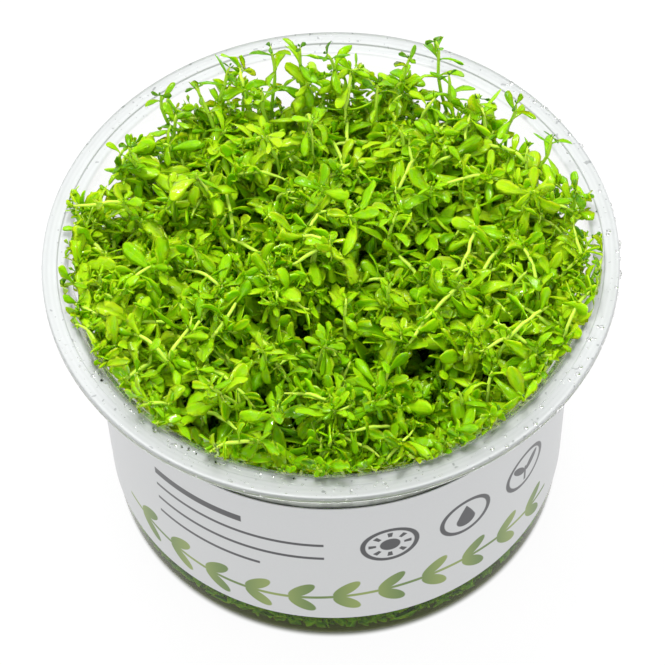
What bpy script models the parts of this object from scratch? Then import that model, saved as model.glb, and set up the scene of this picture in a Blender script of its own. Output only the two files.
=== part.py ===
# Pearlweed growing in a clear, round tissue-culture cup with a white paper label.
# Metres, +Z up. The origin is the middle of the cup's underside, and the label faces -Y.

import math
import random

import bmesh
import bpy
from mathutils import Vector

mm = 0.001

# Cup: a thin clear tub with a stepped rim
rim_radius = 52.5 * mm
cup_height = 63.3 * mm
rim_step_radius = 49.8 * mm
rim_inner_radius = 48.35 * mm
rim_step_drop = 0.4 * mm
skirt_drop = 1.6 * mm
wall_thickness = 0.8 * mm
wall_radius_low = 42.3 * mm
wall_radius_high = 44.3 * mm
wall_low = 3.0 * mm
wall_high = 56.0 * mm
shoulder_radius = 46.9 * mm
shoulder_height = 61.9 * mm
foot_radius = 40.4 * mm
foot_inner_radius = 36.5 * mm
foot_rise = 0.6 * mm
floor_top = 1.4 * mm
turn_steps = 36

# Label: a paper sleeve that leaves the back of the wall clear
label_bottom = 8.2 * mm
label_top = 47.4 * mm
label_gap = 0.3 * mm
label_thickness = 0.2 * mm
label_wrap_steps = 29

# Growing gel: a clear disc on the cup's floor
piece_gap = 0.3 * mm
gel_top = 8.5 * mm

# Tufts: one clump of leafy stems each, in rings from the middle of the cup to its wall
tufts_in_rings = (1, 6, 12, 16)
outer_ring_radius = 37.2 * mm
tuft_wander = 1.1 * mm
cell_gap = 0.4 * mm
wall_clearance = 0.7 * mm
over_rim_radius = 48.6 * mm
over_rim_height = 64.2 * mm

# A clump's body, as shares of its room in the cup at three heights
clump_sides = 8
clump_hollow = 0.92
foot_share = 0.72
crown_share = 0.58
shoulder_below_crown = 7.0 * mm
crown_height = 57.5 * mm
crown_rise_at_wall = 3.6 * mm
crown_wander = 1.5 * mm
peak_rise = 1.5 * mm

# Leaves, in opposite pairs on the sprigs and singly round the clump's crown
leaf_length = 5.6 * mm
leaf_half_width = 1.25 * mm
leaf_half_thickness = 0.3 * mm
leaf_widest_at = 0.58
leaf_tip_droop = 0.10
leaf_size_range = (0.86, 1.10)
crown_leaf_lift = math.radians(45)
shoulder_leaf_lift = math.radians(30)

# Sprigs, which stand taller towards the back of the cup
stem_half_width = 0.55 * mm
stem_taper = 0.55
sprig_pairs = 3
sprig_lean = 0.10
low_pair_lift = math.radians(20)
high_pair_lift = math.radians(43)
front_tip_height = 67.0 * mm
back_tip_height = 71.5 * mm
tip_height_spread = 3.2 * mm
bud_length = 1.0 * mm


def wall_radius(z):
    """Outer radius of the cup's wall at height z, a straight taper."""
    share = (z - wall_low) / (wall_high - wall_low)
    return wall_radius_low + (wall_radius_high - wall_radius_low) * share


def clear_scene():
    for item in list(bpy.data.objects):
        bpy.data.objects.remove(item, do_unlink=True)


def new_collection(name):
    collection = bpy.data.collections.new(name)
    bpy.context.scene.collection.children.link(collection)
    return collection


def material(name, colour, roughness, alpha=1.0):
    made = bpy.data.materials.new(name)
    made.use_nodes = True
    shader = made.node_tree.nodes["Principled BSDF"]
    shader.inputs["Base Color"].default_value = (*colour, 1.0)
    shader.inputs["Roughness"].default_value = roughness
    shader.inputs["Metallic"].default_value = 0.0
    shader.inputs["Alpha"].default_value = alpha
    return made


def mesh_object(name, mesh, collection, finish):
    made = bpy.data.objects.new(name, mesh)
    mesh.materials.append(finish)
    collection.objects.link(made)
    return made


def profile_mesh(name, points):
    """An open outline of (radius, height) points in the XZ plane."""
    mesh = bpy.data.meshes.new(name)
    edges = [(i, i + 1) for i in range(len(points) - 1)]
    mesh.from_pydata([(r, 0.0, z) for r, z in points], edges, [])
    return mesh


def add_turn(target, steps, angle):
    """Turn an outline round the Z axis."""
    turn = target.modifiers.new("turn", "SCREW")
    turn.axis = "Z"
    turn.angle = angle
    turn.steps = steps
    turn.render_steps = steps
    turn.use_merge_vertices = True
    turn.merge_threshold = 0.00005
    turn.use_smooth_shade = True
    return turn


def cup_outline():
    """From the inner floor's centre, up the inside, over the rim and down the outside."""
    inner_low = wall_radius_low - wall_thickness
    inner_high = wall_radius_high - wall_thickness
    rim_top = cup_height
    step_top = cup_height - rim_step_drop
    under_rim = cup_height - wall_thickness
    inside = [
        (0.0, floor_top),
        (foot_radius - 1.0 * mm, floor_top),
        (inner_low - 0.4 * mm, floor_top + 0.8 * mm),
        (inner_low, wall_low + 0.6 * mm),
        (inner_high, wall_high + 0.2 * mm),
        (inner_high + 1.1 * mm, wall_high + 3.0 * mm),
        (shoulder_radius, shoulder_height),
        (rim_inner_radius, step_top),
        (rim_step_radius - 0.2 * mm, step_top),
        (rim_step_radius, rim_top),
        (rim_radius - 0.3 * mm, rim_top),
        (rim_radius, rim_top - 0.3 * mm),
    ]
    outside = [
        (rim_radius, rim_top - skirt_drop),
        (rim_radius - 0.7 * mm, rim_top - skirt_drop),
        (rim_radius - 0.7 * mm, under_rim),
        (rim_inner_radius - 0.1 * mm, under_rim - rim_step_drop),
        (wall_radius_high + 1.3 * mm, wall_high + 2.7 * mm),
        (wall_radius_high, wall_high),
        (wall_radius_low, wall_low),
        (wall_radius_low - 0.5 * mm, 1.2 * mm),
        (foot_radius, 0.0),
        (foot_inner_radius, 0.0),
        (foot_inner_radius - 0.5 * mm, foot_rise),
        (0.0, foot_rise),
    ]
    return inside + outside


def make_cup(collection):
    finish = material("clear_plastic", (0.90, 0.93, 0.92), 0.12, 0.35)
    cup = mesh_object("cup", profile_mesh("cup", cup_outline()), collection, finish)
    add_turn(cup, turn_steps, math.tau)


def make_label(collection):
    """A straight outline turned most of the way round the wall, then given its paper's thickness."""
    finish = material("label_paper", (0.80, 0.81, 0.82), 0.35)
    outline = [
        (wall_radius(label_top) + label_gap, label_top),
        (wall_radius(label_bottom) + label_gap, label_bottom),
    ]
    label = mesh_object("label", profile_mesh("label", outline), collection, finish)
    step = math.tau / turn_steps
    add_turn(label, label_wrap_steps, step * label_wrap_steps)
    open_steps = turn_steps - label_wrap_steps
    label.rotation_euler.z = math.pi / 2 + step * math.ceil(open_steps / 2)
    paper = label.modifiers.new("paper", "SOLIDIFY")
    paper.thickness = label_thickness
    paper.offset = 1.0
    paper.use_rim = True


def make_gel(collection):
    finish = material("gel", (0.55, 0.60, 0.32), 0.20, 0.5)
    side_high = wall_radius(gel_top) - wall_thickness - piece_gap
    side_low = foot_radius - 1.2 * mm
    base = floor_top + piece_gap
    outline = [(0.0, gel_top), (side_high, gel_top), (side_low, base), (0.0, base)]
    gel = mesh_object("growing_gel", profile_mesh("growing_gel", outline), collection, finish)
    add_turn(gel, turn_steps, math.tau)


def tuft_centres():
    """Rings of evenly spaced tufts, each a little out of its place."""
    rng = random.Random(5)
    centres = []
    for ring, count in enumerate(tufts_in_rings):
        radius = outer_ring_radius * ring / (len(tufts_in_rings) - 1)
        for k in range(count):
            angle = math.tau * (k + 0.5 * (ring % 2)) / count
            place = Vector((radius * math.cos(angle), radius * math.sin(angle), 0.0))
            wander = Vector((rng.uniform(-1, 1), rng.uniform(-1, 1), 0.0)) * tuft_wander
            centres.append(place + wander)
    return centres


def inner_radius(z):
    """Radius of the cup's inside at height z, read from its outline."""
    outline = cup_outline()[3:9]
    if z <= outline[0][1]:
        return outline[0][0]
    for (r_low, z_low), (r_high, z_high) in zip(outline, outline[1:]):
        if z_low < z_high and z <= z_high:
            return r_low + (r_high - r_low) * (z - z_low) / (z_high - z_low)
    return rim_inner_radius


class Cell:
    """The share of the cup that one tuft grows in: up to halfway to each neighbour, and the wall."""

    def __init__(self, index, centres):
        self.centre = centres[index]
        self.walls = []
        for other, place in enumerate(centres):
            if other != index:
                away = (place - self.centre).normalized()
                reach = (place - self.centre).length / 2 - cell_gap / 2
                self.walls.append((away, reach))

    def limit(self, z):
        if z >= over_rim_height:
            return over_rim_radius
        return inner_radius(z) - wall_clearance

    def room(self, start, direction, z):
        """How far it is from start to the cell's edge, level with z."""
        flat = Vector((direction.x, direction.y, 0.0)).normalized()
        spot = Vector((start.x, start.y, 0.0))
        along = spot.dot(flat)
        distance = -along + math.sqrt(max(along ** 2 - spot.length_squared + self.limit(z) ** 2, 0.0))
        for away, reach in self.walls:
            slope = flat.dot(away)
            if slope > 0.05:
                distance = min(distance, (reach - (spot - self.centre).dot(away)) / slope)
        return max(distance, 0.0)

    def keep(self, point):
        """A point moved back inside the cell if it has left it."""
        spot = Vector((point.x, point.y, 0.0))
        for away, reach in self.walls:
            past = (spot - self.centre).dot(away) - reach
            if past > 0.0:
                spot -= away * past
        radius = spot.length
        if radius > self.limit(point.z):
            spot *= self.limit(point.z) / radius
        return Vector((spot.x, spot.y, point.z))


def pull_out(bm, face, corners):
    """Extrude a face and move its corners, turned so that the sides don't twist."""
    face = bmesh.ops.extrude_discrete_faces(bm, faces=[face])["faces"][0]
    verts = list(face.verts)
    count = len(corners)

    def span(turn):
        return sum((verts[i].co - corners[(i + turn) % count]).length for i in range(count))

    best = min(range(count), key=span)
    for i, vert in enumerate(verts):
        vert.co = corners[(i + best) % count]
    return face


def leaf_section(centre, direction, half_across, half_deep):
    """Four corners round a leaf's middle, in order about the direction of growth."""
    across = Vector((0.0, 0.0, 1.0)).cross(direction).normalized()
    deep = direction.cross(across).normalized()
    signs = ((1, 1), (-1, 1), (-1, -1), (1, -1))
    return [centre + across * half_across * a + deep * half_deep * b for a, b in signs]


def grow_leaf(bm, face, outward, lift, size, cell):
    """A leaf out of a face: broad and thin past its middle, with a pointed tip.
    It stands up more steeply where its cell leaves it less room."""
    start = face.calc_center_median()
    length = leaf_length * size
    tip_room = cell.room(start, outward, start.z + length / 2)
    reach = min(length * math.cos(lift), tip_room * 0.95)
    rise = math.sqrt(length ** 2 - reach ** 2)
    direction = (outward * reach + Vector((0.0, 0.0, rise))) / length
    widest = start + direction * length * leaf_widest_at
    blade = pull_out(bm, face, leaf_section(widest, direction, leaf_half_width * size, leaf_half_thickness))
    tip = bmesh.ops.poke(bm, faces=[blade])["verts"][0]
    tip.co = start + direction * length - Vector((0.0, 0.0, leaf_tip_droop * length))


def stem_square(centre, turn, half_width):
    """Four corners of an upright stem, in order about +Z."""
    corners = []
    for quarter in range(4):
        angle = turn + math.pi / 4 + quarter * math.pi / 2
        reach = half_width * math.sqrt(2)
        corners.append(centre + Vector((math.cos(angle), math.sin(angle), 0.0)) * reach)
    return corners


def outward_of(face):
    """Which way a face looks, seen from above."""
    return Vector((face.normal.x, face.normal.y, 0.0)).normalized()


def grow_sprig(bm, face, top, turn, pairs, cell, rng):
    """A stem with crossed pairs of leaves, each pair at right angles to the last."""
    start = face.calc_center_median()
    for node in range(1, pairs + 1):
        share = node / pairs
        width = stem_half_width * (1.25 - stem_taper * share)
        face = pull_out(bm, face, stem_square(start.lerp(top, share), turn, width))
        bm.normal_update()
        sides = []
        for edge in face.edges:
            sides.extend(linked for linked in edge.link_faces if linked is not face)
        size = (1.0 - 0.25 * share) * rng.uniform(*leaf_size_range)
        lift = low_pair_lift + (high_pair_lift - low_pair_lift) * share
        for side in sides[node % 2::2]:
            grow_leaf(bm, side, outward_of(side), lift, size, cell)
    tip = bmesh.ops.poke(bm, faces=[face])["verts"][0]
    tip.co = top + Vector((0.0, 0.0, bud_length))


def clump_ring(bm, cell, z, share, turn, odd):
    """One ring of a clump: full and hollow by turns, and fuller towards the cup's wall."""
    verts = []
    for side in range(clump_sides):
        angle = turn + math.tau * side / clump_sides
        direction = Vector((math.cos(angle), math.sin(angle), 0.0))
        towards_wall = max(direction.dot(cell.centre) / outer_ring_radius, 0.0)
        reach = cell.room(cell.centre, direction, z) * (share + (1.0 - share) * towards_wall)
        if side % 2 == odd:
            reach *= clump_hollow
        verts.append(bm.verts.new(cell.centre + direction * reach + Vector((0.0, 0.0, z))))
    return verts


def grow_clump(bm, cell, crown, turn):
    """The clump's leafy body; returns its shoulder faces, its upper faces and its peak."""
    levels = [(gel_top + piece_gap, foot_share), (crown - shoulder_below_crown, 1.0), (crown, crown_share)]
    rings = [clump_ring(bm, cell, z, share, turn, row % 2) for row, (z, share) in enumerate(levels)]
    bm.faces.new(list(reversed(rings[0])))
    bands = []
    for low, high in zip(rings, rings[1:]):
        band = []
        for i in range(clump_sides):
            j = (i + 1) % clump_sides
            band.append(bm.faces.new((low[i], low[j], high[j], high[i])))
        bands.append(band)
    peak = cell.centre + Vector((0.0, 0.0, crown + peak_rise))
    cap_turn = turn + math.tau / 16 - math.pi / 4
    cap = [bm.verts.new(corner) for corner in stem_square(peak, cap_turn, 2 * stem_half_width)]
    rim = rings[-1]
    upper = []
    for quarter in range(4):
        a = rim[2 * quarter]
        b = rim[2 * quarter + 1]
        c = rim[(2 * quarter + 2) % clump_sides]
        bm.faces.new((a, b, cap[quarter]))
        upper.append(bm.faces.new((b, c, cap[(quarter + 1) % 4], cap[quarter])))
    top_face = bm.faces.new(cap)
    bm.normal_update()
    return bands[-1], upper, top_face


def backness(place):
    """0 over the front half of the cup, rising to 1 at its back."""
    return min(max(place.y / outer_ring_radius + 0.1, 0.0), 1.0)


def tip_height(place, rng):
    """Sprigs stand taller towards the back of the cup."""
    height = front_tip_height + (back_tip_height - front_tip_height) * backness(place)
    return height + rng.uniform(-0.6, 1.0) * tip_height_spread


def crown_height_at(place, rng):
    """The leafy mass swells up towards the wall, less so at the back."""
    swell = (place.length / outer_ring_radius) ** 2 * (1.0 - backness(place))
    return crown_height + crown_rise_at_wall * swell + rng.uniform(-1, 1) * crown_wander


def make_tuft(index, centres, collection, finish):
    """A clump of leafy stems that rises from the gel and ends in a crown of leaves and a sprig."""
    rng = random.Random(100 + index)
    cell = Cell(index, centres)
    turn = rng.uniform(0.0, math.tau)
    crown = crown_height_at(cell.centre, rng)
    bm = bmesh.new()
    shoulder, upper, top_face = grow_clump(bm, cell, crown, turn)
    lean = cell.centre * sprig_lean + Vector((rng.uniform(-1, 1), rng.uniform(-1, 1), 0.0)) * mm
    top = cell.centre + lean + Vector((0.0, 0.0, tip_height(cell.centre, rng)))
    grow_sprig(bm, top_face, top, turn, sprig_pairs, cell, rng)
    for face in upper:
        grow_leaf(bm, face, outward_of(face), crown_leaf_lift, rng.uniform(*leaf_size_range), cell)
    for face in shoulder[rng.randrange(2)::2]:
        grow_leaf(bm, face, outward_of(face), shoulder_leaf_lift, rng.uniform(*leaf_size_range), cell)
    for vert in bm.verts:
        vert.co = cell.keep(vert.co)
    bmesh.ops.triangulate(bm, faces=bm.faces[:])
    name = f"tuft_{index + 1:02d}"
    mesh = bpy.data.meshes.new(name)
    bm.to_mesh(mesh)
    bm.free()
    mesh_object(name, mesh, collection, finish)


def make_plants(collection):
    finish = material("pearlweed_green", (0.22, 0.48, 0.01), 0.45)
    centres = tuft_centres()
    for index in range(len(centres)):
        make_tuft(index, centres, collection, finish)


def main():
    clear_scene()
    collection = new_collection("pearlweed_cup")
    make_cup(collection)
    make_label(collection)
    make_gel(collection)
    make_plants(collection)


main()
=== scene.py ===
import math

import bpy
import numpy as np
from mathutils import Matrix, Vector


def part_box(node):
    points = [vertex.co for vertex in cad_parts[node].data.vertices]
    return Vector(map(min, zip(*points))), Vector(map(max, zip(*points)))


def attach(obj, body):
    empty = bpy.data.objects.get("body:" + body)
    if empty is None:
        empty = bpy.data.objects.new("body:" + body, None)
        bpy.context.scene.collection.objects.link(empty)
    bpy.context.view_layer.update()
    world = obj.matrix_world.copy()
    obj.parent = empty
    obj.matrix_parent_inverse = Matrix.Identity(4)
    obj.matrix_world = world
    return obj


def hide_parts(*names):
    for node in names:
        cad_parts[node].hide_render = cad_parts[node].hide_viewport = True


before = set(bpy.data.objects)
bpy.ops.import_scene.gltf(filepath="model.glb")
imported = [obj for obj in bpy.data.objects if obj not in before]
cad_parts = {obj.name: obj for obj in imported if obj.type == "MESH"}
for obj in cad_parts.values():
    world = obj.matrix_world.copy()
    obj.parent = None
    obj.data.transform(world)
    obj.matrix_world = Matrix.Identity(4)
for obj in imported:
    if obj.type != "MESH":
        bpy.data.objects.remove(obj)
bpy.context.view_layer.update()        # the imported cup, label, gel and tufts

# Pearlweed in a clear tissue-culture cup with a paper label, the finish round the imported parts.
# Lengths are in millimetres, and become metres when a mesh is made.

mm = 0.001
turn = 2 * math.pi
rng = np.random.default_rng(11)


# Shader maths: a Wire is one socket, and sums on it add Math nodes to its Sheet

class Wire:
    def __init__(self, sheet, socket):
        self.sheet = sheet
        self.socket = socket

    def pick(self, name):                      # another output of the same node
        return Wire(self.sheet, self.socket.node.outputs[name])

    def __add__(self, other):
        return self.sheet.sum("ADD", self, other)

    def __sub__(self, other):
        return self.sheet.sum("SUBTRACT", self, other)

    def __rsub__(self, other):
        return self.sheet.sum("SUBTRACT", other, self)

    def __mul__(self, other):
        return self.sheet.sum("MULTIPLY", self, other)

    def __truediv__(self, other):
        return self.sheet.sum("DIVIDE", self, other)

    def __pow__(self, other):
        return self.sheet.sum("POWER", self, other)

    def __abs__(self):
        return self.sheet.sum("ABSOLUTE", self)

    __radd__ = __add__
    __rmul__ = __mul__


class Sheet:
    def __init__(self, name):
        self.material = bpy.data.materials.new(name)
        self.material.use_nodes = True
        self.tree = self.material.node_tree
        self.tree.nodes.clear()

    def node(self, kind, settings=None, values=None, out=0):
        # Settings go on the node itself, values on its sockets, as numbers or as wires
        made = self.tree.nodes.new("ShaderNode" + kind)
        for name, value in (settings or {}).items():
            if name == "stops":
                self.setStops(made.color_ramp.elements, value)
            else:
                setattr(made, name, value)
        for name, value in (values or {}).items():
            if isinstance(value, Wire):
                self.tree.links.new(value.socket, made.inputs[name])
            else:
                made.inputs[name].default_value = value
        return Wire(self, made.outputs[out]) if len(made.outputs) else None

    def setStops(self, elements, stops):
        # Each stop of a ramp is its place and its colour
        while len(elements) < len(stops):
            elements.new(1.0)
        for element, (place, colour) in zip(elements, stops):
            element.position = place
            element.color = (*colour, 1.0)

    def sum(self, operation, first, second=None):
        # One Math node on one or two values
        values = {0: first} if second is None else {0: first, 1: second}
        return self.node("Math", {"operation": operation}, values)

    def most(self, first, second):             # the larger of two
        return self.sum("MAXIMUM", first, second)

    def step(self, value, low, high):          # 0 below low, 1 above high, smooth between
        settings = {"interpolation_type": "SMOOTHSTEP"}
        return self.node("MapRange", settings, {"Value": value, "From Min": low, "From Max": high})

    def mix(self, share, first, second):       # two colours
        colours = [(*c, 1.0) if isinstance(c, tuple) else c for c in (first, second)]
        return self.node("Mix", {"data_type": "RGBA"}, {0: share, 6: colours[0], 7: colours[1]}, out=2)

    def noise(self, place, size, detail=2.0):  # size is the pattern's grain in millimetres
        return self.node("TexNoise", None, {"Vector": place, "Scale": 1.0 / (size * mm), "Detail": detail})

    def bump(self, height, depth, strength):   # depth in millimetres
        return self.node("Bump", None, {"Height": height, "Distance": depth * mm, "Strength": strength})

    def finish(self, values):
        # A surface of one shader, with these values
        shader = self.node("BsdfPrincipled", None, values)
        self.close(shader)
        return self.material

    def close(self, shader):
        self.node("OutputMaterial", None, {"Surface": shader})


# Meshes from whole arrays

def meshPiece(name, points, corners, sizes, finishes, finishOf=None, sharp=None):
    # Points in millimetres, corners as indices of points, sizes as corners of each face,
    # and the angle in degrees past which an edge is sharp
    mesh = bpy.data.meshes.new(name)
    mesh.vertices.add(len(points))
    mesh.vertices.foreach_set("co", np.ravel(points * mm).astype(np.float32))
    mesh.loops.add(len(corners))
    mesh.loops.foreach_set("vertex_index", corners.astype(np.int32))
    mesh.polygons.add(len(sizes))
    starts = np.cumsum(sizes) - sizes
    mesh.polygons.foreach_set("loop_start", starts.astype(np.int32))
    for finish in finishes:
        mesh.materials.append(finish)
    if finishOf is not None:
        mesh.polygons.foreach_set("material_index", finishOf.astype(np.int32))
    mesh.update(calc_edges=True)
    mesh.validate()
    mesh.shade_smooth()
    if sharp is not None:
        mesh.set_sharp_from_angle(angle=math.radians(sharp))
    piece = bpy.data.objects.new(name, mesh)
    bpy.context.scene.collection.objects.link(piece)
    return piece


def tubeFaces(count, rings, sides):
    # Quads between neighbouring rings of each tube, and a cap on each end
    ring = np.arange(rings - 1)[:, None] * sides
    side = np.arange(sides)[None, :]
    after = (side + 1) % sides
    quads = np.stack([ring + side, ring + after, ring + sides + after, ring + sides + side], -1)
    caps = [np.arange(sides)[::-1], (rings - 1) * sides + np.arange(sides)]
    one = np.concatenate([quads.ravel()] + caps)
    sizes = np.array([4] * ((rings - 1) * sides) + [sides, sides])
    first = np.arange(count)[:, None] * rings * sides
    return (first + one).ravel(), np.tile(sizes, count)


def tubeParts(parts):
    # One mesh's arrays from several (tubes, rings, sides, 3) arrays of points, each with its finish
    points, corners, sizes, finishOf, first = [], [], [], [], 0
    for tubes, finish in parts:
        count, rings, sides = tubes.shape[:3]
        partCorners, partSizes = tubeFaces(count, rings, sides)
        points.append(tubes.reshape(-1, 3))
        corners.append(partCorners + first)
        sizes.append(partSizes)
        finishOf.append(np.full(len(partSizes), finish))
        first += count * rings * sides
    return [np.concatenate(array) for array in (points, corners, sizes, finishOf)]


def unit(vectors):
    # Each vector over its own length
    return vectors / np.maximum(np.linalg.norm(vectors, axis=-1, keepdims=True), 1e-9)


def ease(value, low, high):
    # 0 below low, 1 above high, and the cubic 3t^2 - 2t^3 between
    share = np.clip((value - low) / (high - low), 0, 1)
    return share * share * (3 - 2 * share)


def roundedLine(points, steps=6, most=0.45):
    # Each point is (radius, height, rounding): a quadratic curve replaces the corner. It starts and ends as
    # far from the corner as the rounding says, but on a short side at most at that share of the side
    spots = np.array([p[:2] for p in points], float)
    line = [spots[0]]
    for k in range(1, len(points) - 1):
        back, on = spots[k - 1] - spots[k], spots[k + 1] - spots[k]
        cut = points[k][2]
        start = spots[k] + back / np.linalg.norm(back) * min(cut, np.linalg.norm(back) * most)
        end = spots[k] + on / np.linalg.norm(on) * min(cut, np.linalg.norm(on) * most)
        t = np.linspace(0, 1, steps)[:, None]
        line.extend((1 - t) ** 2 * start + 2 * t * (1 - t) * spots[k] + t ** 2 * end)
    line.append(spots[-1])
    return np.array(line)


# Cup

cupSpec = {
    "rimRadius": 52.5,
    "height": 63.3,
    "stepRadius": 49.8,
    "innerRadius": 48.35,
    "stepDrop": 0.4,
    "riser": 0.15,           # how far the step's side leans
    "skirtDrop": 1.6,
    "skirtWall": 0.7,
    "wall": 0.8,
    "lowRadius": 42.3,
    "lowHeight": 3.0,
    "highRadius": 44.3,
    "highHeight": 56.0,
    "shoulderRadius": 46.9,
    "shoulderHeight": 61.9,
    "shoulderFoot": (1.3, 2.7),    # its lower edge, out and up from the top of the wall
    "footInner": 36.5,
    "footSlope": 0.5,        # how far the foot's inner side leans
    "footRise": 0.6,
    "footFloor": 0.85,       # inner floor over the foot, and in the middle
    "floorTop": 1.4,
    "corner": 2.6,
    "pole": 0.02,            # radius of the small caps that close the middle
    "sides": 192,
    "sharp": 50,
    "bend": 1.40,            # index of refraction, and that of the gel
    "gelBend": 1.34,
    "footBend": 1.15,        # lower, for the wet outside of the foot
    "bloom": 0.56,           # how milky the rim's upper side is
    "breath": (0.42, 0.22),  # how milky the wall above the label is at least, and how much more in places
    "breathHeights": (46.8, 47.3, 48.5, 52.5),     # where that fades in, and where it fades out
}


def wallRadius(z):
    # Outer radius of the wall, a straight taper
    c = cupSpec
    share = (z - c["lowHeight"]) / (c["highHeight"] - c["lowHeight"])
    return c["lowRadius"] + (c["highRadius"] - c["lowRadius"]) * share


def cupLine():
    # From the foot's middle, up the outside, over the rim and down the inside to the inner floor
    c = cupSpec
    top, wall = c["height"], c["wall"]
    stepTop, underRim = top - c["stepDrop"], top - wall
    shoulderOut, shoulderUp = c["shoulderFoot"]
    inside = [
        (c["pole"], c["floorTop"], 0),
        (c["footInner"] - c["footSlope"], c["floorTop"], 0.5),
        (c["footInner"] + 0.3, c["footFloor"], 0.5),
        (wallRadius(0) - wall, c["footFloor"], c["corner"] - wall),
        (wallRadius(gelSpec["top"]) - wall, gelSpec["top"], 0.01),
        (c["highRadius"] - wall, c["highHeight"] + 0.2, 1.2),
        (c["shoulderRadius"] - 1.0, c["shoulderHeight"] - 0.7, 0.9),
        (c["innerRadius"] - 0.4, stepTop, 0.5),
        (c["stepRadius"] - c["riser"], stepTop, 0.12),
        (c["stepRadius"], top, 0.12),
        (c["rimRadius"], top, 0.35),
    ]
    outside = [
        (c["rimRadius"], top - c["skirtDrop"], 0.2),
        (c["rimRadius"] - c["skirtWall"], top - c["skirtDrop"], 0.2),
        (c["rimRadius"] - c["skirtWall"], underRim, 0.25),
        (c["innerRadius"] - 0.1, underRim - c["stepDrop"], 0.4),
        (c["highRadius"] + shoulderOut, c["highHeight"] + shoulderUp, 1.0),
        (c["highRadius"], c["highHeight"], 1.2),
        (wallRadius(labelSpec["bottom"]), labelSpec["bottom"] + 0.3, 0.01),
        (wallRadius(0), 0.0, c["corner"]),
        (c["footInner"], 0.0, 0.3),
        (c["footInner"] - c["footSlope"], c["footRise"], 0.3),
        (c["pole"], c["footRise"], 0),
    ]
    return roundedLine((inside + outside)[::-1])


def turned(line, sides):
    # A (radius, height) line swept round Z: x and y are the radius times the angle's cosine and sine.
    # Where the line climbs, its faces look away from the axis
    angle = np.linspace(0, turn, sides, endpoint=False)
    x = line[:, 0, None] * np.cos(angle)
    y = line[:, 0, None] * np.sin(angle)
    z = np.repeat(line[:, 1, None], sides, 1)
    return np.stack([x, y, z], -1)[None]


dropSpec = {
    # Beads of condensation in patches: how many, the angles, the radii and the sizes that they lie between.
    # On the skirt, heights take the place of the radii
    "onTop": [
        (130, 195, 300, 48.9, 52.0, 0.08, 0.24),
        (60, 300, 410, 49.2, 52.2, 0.10, 0.50),
        (50, 205, 262, 48.2, 48.8, 0.18, 0.42),
        (50, 50, 200, 48.8, 52.0, 0.08, 0.22),
    ],
    "onSkirt": [
        (60, -50, 55, 61.9, 63.0, 0.12, 0.55),
        (40, 160, 300, 61.9, 63.0, 0.08, 0.25),
    ],
    "bias": 2.5,             # the higher, the more of them are small
    "outline": np.array([(0.80, 0.0), (1.0, 0.22), (0.86, 0.52), (0.5, 0.74), (0.05, 0.82)]),
    "sides": 8,
    "gap": 0.02,             # between a bead and the plastic
}


def beadPlaces(patches):
    # Angle, place and size of each bead: even draws, the size's raised to a power
    rows = []
    for count, start, end, near, far, small, large in patches:
        size = small + (large - small) * rng.uniform(0, 1, count) ** dropSpec["bias"]
        rows.append((np.radians(rng.uniform(start, end, count)), rng.uniform(near, far, count), size))
    return [np.concatenate(column) for column in zip(*rows)]


def rimDrops():
    # A flattened dome turned about each bead's own middle, on the rim's top or on the skirt's side
    d, c = dropSpec, cupSpec
    angle, radius, size = beadPlaces(d["onTop"])
    flat = angle * 0
    height = np.where(radius > c["stepRadius"], c["height"], c["height"] - c["stepDrop"]) + d["gap"]
    topWays = [(flat + 1, flat, flat), (flat, flat + 1, flat), (flat, flat, flat + 1)]
    topMiddle = (radius * np.cos(angle), radius * np.sin(angle), height)
    sideAngle, sideHeight, sideSize = beadPlaces(d["onSkirt"])
    flat = sideAngle * 0
    cos, sin = np.cos(sideAngle), np.sin(sideAngle)
    sideWays = [(-sin, cos, flat), (flat, flat, flat + 1), (cos, sin, flat)]
    reach = c["rimRadius"] + d["gap"]
    sideMiddle = (reach * cos, reach * sin, sideHeight)
    middle = np.concatenate([np.stack(topMiddle, -1), np.stack(sideMiddle, -1)])
    ways = [np.concatenate([np.stack(a, -1), np.stack(b, -1)]) for a, b in zip(topWays, sideWays)]
    size = np.concatenate([size, sideSize])
    angle = np.arange(d["sides"]) / d["sides"] * turn
    local = (d["outline"][:, :1] * np.cos(angle), d["outline"][:, :1] * np.sin(angle),
             np.repeat(d["outline"][:, 1:], d["sides"], 1))
    dome = sum(part[..., None] * way[:, None, None] for part, way in zip(local, ways))
    return middle[:, None, None] + dome * size[:, None, None, None]


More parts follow.
